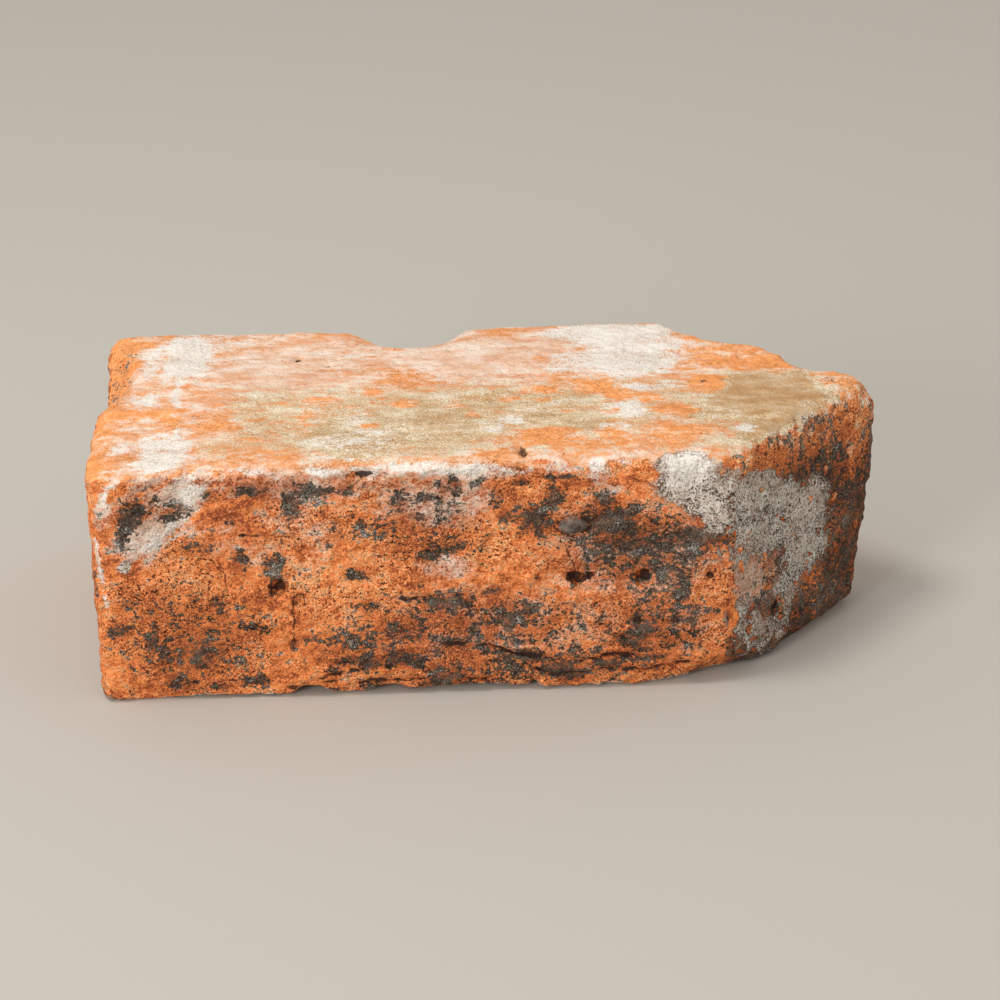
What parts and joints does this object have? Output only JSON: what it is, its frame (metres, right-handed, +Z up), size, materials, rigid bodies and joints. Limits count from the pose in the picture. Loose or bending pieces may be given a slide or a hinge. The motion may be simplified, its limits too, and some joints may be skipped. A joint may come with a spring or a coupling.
{
  "type": "squint brick",
  "caption": "Solid hand-moulded clay brick with one square end and one pointed squint end, for turning a wall at an obtuse corner; worn arrises and spalls.",
  "frame": {"origin": "middle of the lower bed, under the middle of the brick's box", "axes": "+X along the length towards the point, +Y from the stretcher face towards the back, +Z up from bed to bed"},
  "size_m": [0.229, 0.108, 0.073],
  "materials": {
    "fired_clay": "rough fired clay, sand-creased, with lime film and soot stains"
  },
  "bodies": {
    "root": {"brick": "fired_clay"}
  },
  "joints": []
}
